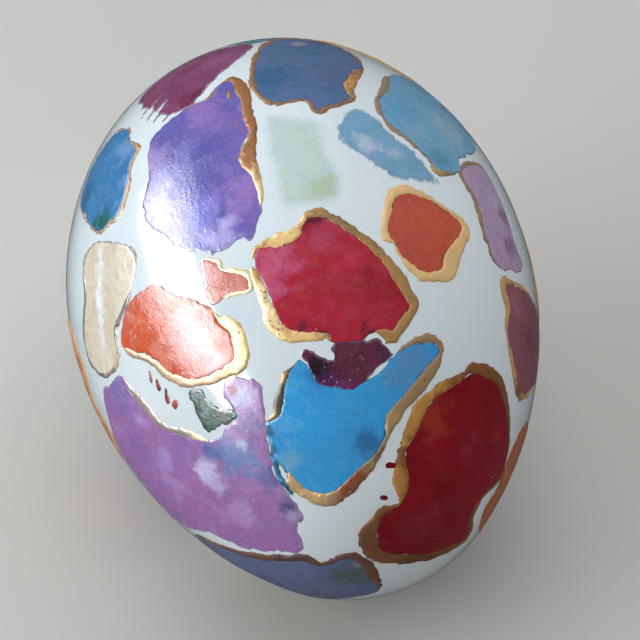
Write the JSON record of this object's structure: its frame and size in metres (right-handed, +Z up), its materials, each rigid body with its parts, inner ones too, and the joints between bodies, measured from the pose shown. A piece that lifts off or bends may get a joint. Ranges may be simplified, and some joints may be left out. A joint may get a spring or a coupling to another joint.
{
  "type": "painted porcelain egg",
  "caption": "Hollow porcelain egg lying on its side, covered with irregular enamel colour patches outlined in brushed gold, with a casting vent in its blunt end.",
  "frame": {"origin": "under the middle of the egg, on the surface that it lies on", "axes": "+Z up; the pointed end towards -Y and 6 degrees down, the blunt end with the vent towards +Y"},
  "size_m": [0.0503, 0.065, 0.0502],
  "materials": {
    "porcelain": "fired white porcelain biscuit",
    "glaze": "clear bluish glaze, high gloss",
    "gold": "burnished overglaze gold, pitted in places",
    "teal_enamel": "overglaze enamel, glossy, thinly brushed",
    "burgundy_enamel": "overglaze enamel, glossy, thinly brushed",
    "slate_enamel": "overglaze enamel, glossy, thinly brushed",
    "violet_enamel": "overglaze enamel, glossy, thinly brushed",
    "steel_blue_enamel": "overglaze enamel, glossy, thinly brushed",
    "tan_enamel": "overglaze enamel, glossy, thinly brushed",
    "orange_enamel": "overglaze enamel, glossy, thinly brushed",
    "salmon_enamel": "overglaze enamel, glossy, thinly brushed",
    "crimson_enamel": "overglaze enamel, glossy, thinly brushed",
    "maroon_enamel": "overglaze enamel, glossy, thinly brushed",
    "azure_enamel": "overglaze enamel, glossy, thinly brushed",
    "mint_enamel": "overglaze enamel, glossy, thinly brushed",
    "cloud_blue_enamel": "overglaze enamel, glossy, thinly brushed",
    "sky_blue_enamel": "overglaze enamel, glossy, thinly brushed",
    "brick_enamel": "overglaze enamel, glossy, thinly brushed",
    "lilac_enamel": "overglaze enamel, glossy, thinly brushed",
    "plum_enamel": "overglaze enamel, glossy, thinly brushed",
    "garnet_enamel": "overglaze enamel, glossy, thinly brushed",
    "apricot_enamel": "overglaze enamel, glossy, thinly brushed",
    "amethyst_enamel": "overglaze enamel, glossy, thinly brushed",
    "moss_enamel": "overglaze enamel, glossy, thinly brushed",
    "lavender_enamel": "overglaze enamel, glossy, thinly brushed",
    "cobalt_enamel": "overglaze enamel, glossy, thinly brushed",
    "rose_enamel": "overglaze enamel, glossy, thinly brushed",
    "ochre_enamel": "overglaze enamel, glossy, thinly brushed",
    "jade_enamel": "overglaze enamel, glossy, thinly brushed",
    "scarlet_enamel": "overglaze enamel, glossy, thinly brushed",
    "turquoise_enamel": "overglaze enamel, glossy, thinly brushed",
    "mauve_enamel": "overglaze enamel, glossy, thinly brushed",
    "peach_enamel": "overglaze enamel, glossy, thinly brushed",
    "indigo_enamel": "overglaze enamel, glossy, thinly brushed",
    "olive_enamel": "overglaze enamel, glossy, thinly brushed"
  },
  "bodies": {
    "root": {"porcelain_shell": "porcelain", "clear_glaze": "glaze", "teal_enamel": "teal_enamel", "burgundy_enamel": "burgundy_enamel", "slate_enamel": "slate_enamel", "violet_enamel": "violet_enamel", "steel_blue_enamel": "steel_blue_enamel", "tan_enamel": "tan_enamel", "orange_enamel": "orange_enamel", "salmon_enamel": "salmon_enamel", "crimson_enamel": "crimson_enamel", "maroon_enamel": "maroon_enamel", "azure_enamel": "azure_enamel", "mint_enamel": "mint_enamel", "cloud_blue_enamel": "cloud_blue_enamel", "sky_blue_enamel": "sky_blue_enamel", "brick_enamel": "brick_enamel", "lilac_enamel": "lilac_enamel", "plum_enamel": "plum_enamel", "garnet_enamel": "garnet_enamel", "apricot_enamel": "apricot_enamel", "amethyst_enamel": "amethyst_enamel", "moss_enamel": "moss_enamel", "lavender_enamel": "lavender_enamel", "cobalt_enamel": "cobalt_enamel", "rose_enamel": "rose_enamel", "ochre_enamel": "ochre_enamel", "jade_enamel": "jade_enamel", "scarlet_enamel": "scarlet_enamel", "turquoise_enamel": "turquoise_enamel", "mauve_enamel": "mauve_enamel", "peach_enamel": "peach_enamel", "indigo_enamel": "indigo_enamel", "olive_enamel": "olive_enamel", "slate_gold": "gold", "violet_gold": "gold", "steel_blue_gold": "gold", "tan_gold": "gold", "orange_gold": "gold", "salmon_gold": "gold", "crimson_gold": "gold", "azure_gold": "gold", "sky_blue_gold": "gold", "brick_gold": "gold", "lilac_gold": "gold", "plum_gold": "gold", "garnet_gold": "gold", "apricot_gold": "gold", "amethyst_gold": "gold", "lavender_gold": "gold", "cobalt_gold": "gold", "rose_gold": "gold", "ochre_gold": "gold", "jade_gold": "gold", "scarlet_gold": "gold", "turquoise_gold": "gold", "mauve_gold": "gold", "peach_gold": "gold", "indigo_gold": "gold", "olive_gold": "gold"}
  },
  "joints": []
}
